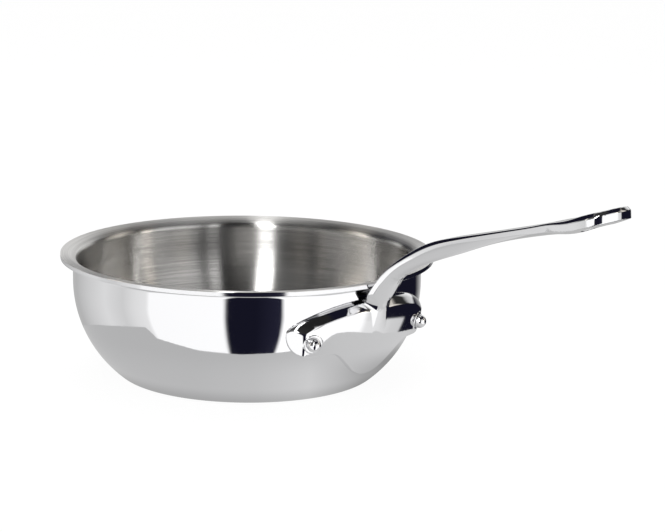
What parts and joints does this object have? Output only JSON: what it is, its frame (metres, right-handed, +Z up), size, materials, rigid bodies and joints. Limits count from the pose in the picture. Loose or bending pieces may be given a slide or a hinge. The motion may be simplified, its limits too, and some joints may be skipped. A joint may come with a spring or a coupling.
{
  "type": "saute pan",
  "caption": "Curved-wall saute pan of bonded steel and aluminium plies, with a flared pouring lip and a long cast steel handle riveted to its side.",
  "frame": {"origin": "centre of the flat underside, on the surface that the pan stands on", "axes": "+X from the bowl's axis out along the handle, +Z up along the bowl's axis"},
  "size_m": [0.4436, 0.2532, 0.1608],
  "materials": {
    "polished_steel": "mirror polished stainless steel",
    "aluminium": "rolled, bonded inside the sheet, shows as a seam at the lip",
    "brushed_steel": "brushed round the bowl's axis",
    "cast_steel": "polished stainless casting",
    "rivet_steel": "polished stainless rivet"
  },
  "bodies": {
    "root": {"outer_ply": "polished_steel", "outer_bond_ply": "aluminium", "core_ply": "aluminium", "inner_bond_ply": "aluminium", "inner_ply": "brushed_steel", "handle": "cast_steel", "rivet_left": "rivet_steel", "rivet_right": "rivet_steel"}
  },
  "joints": []
}
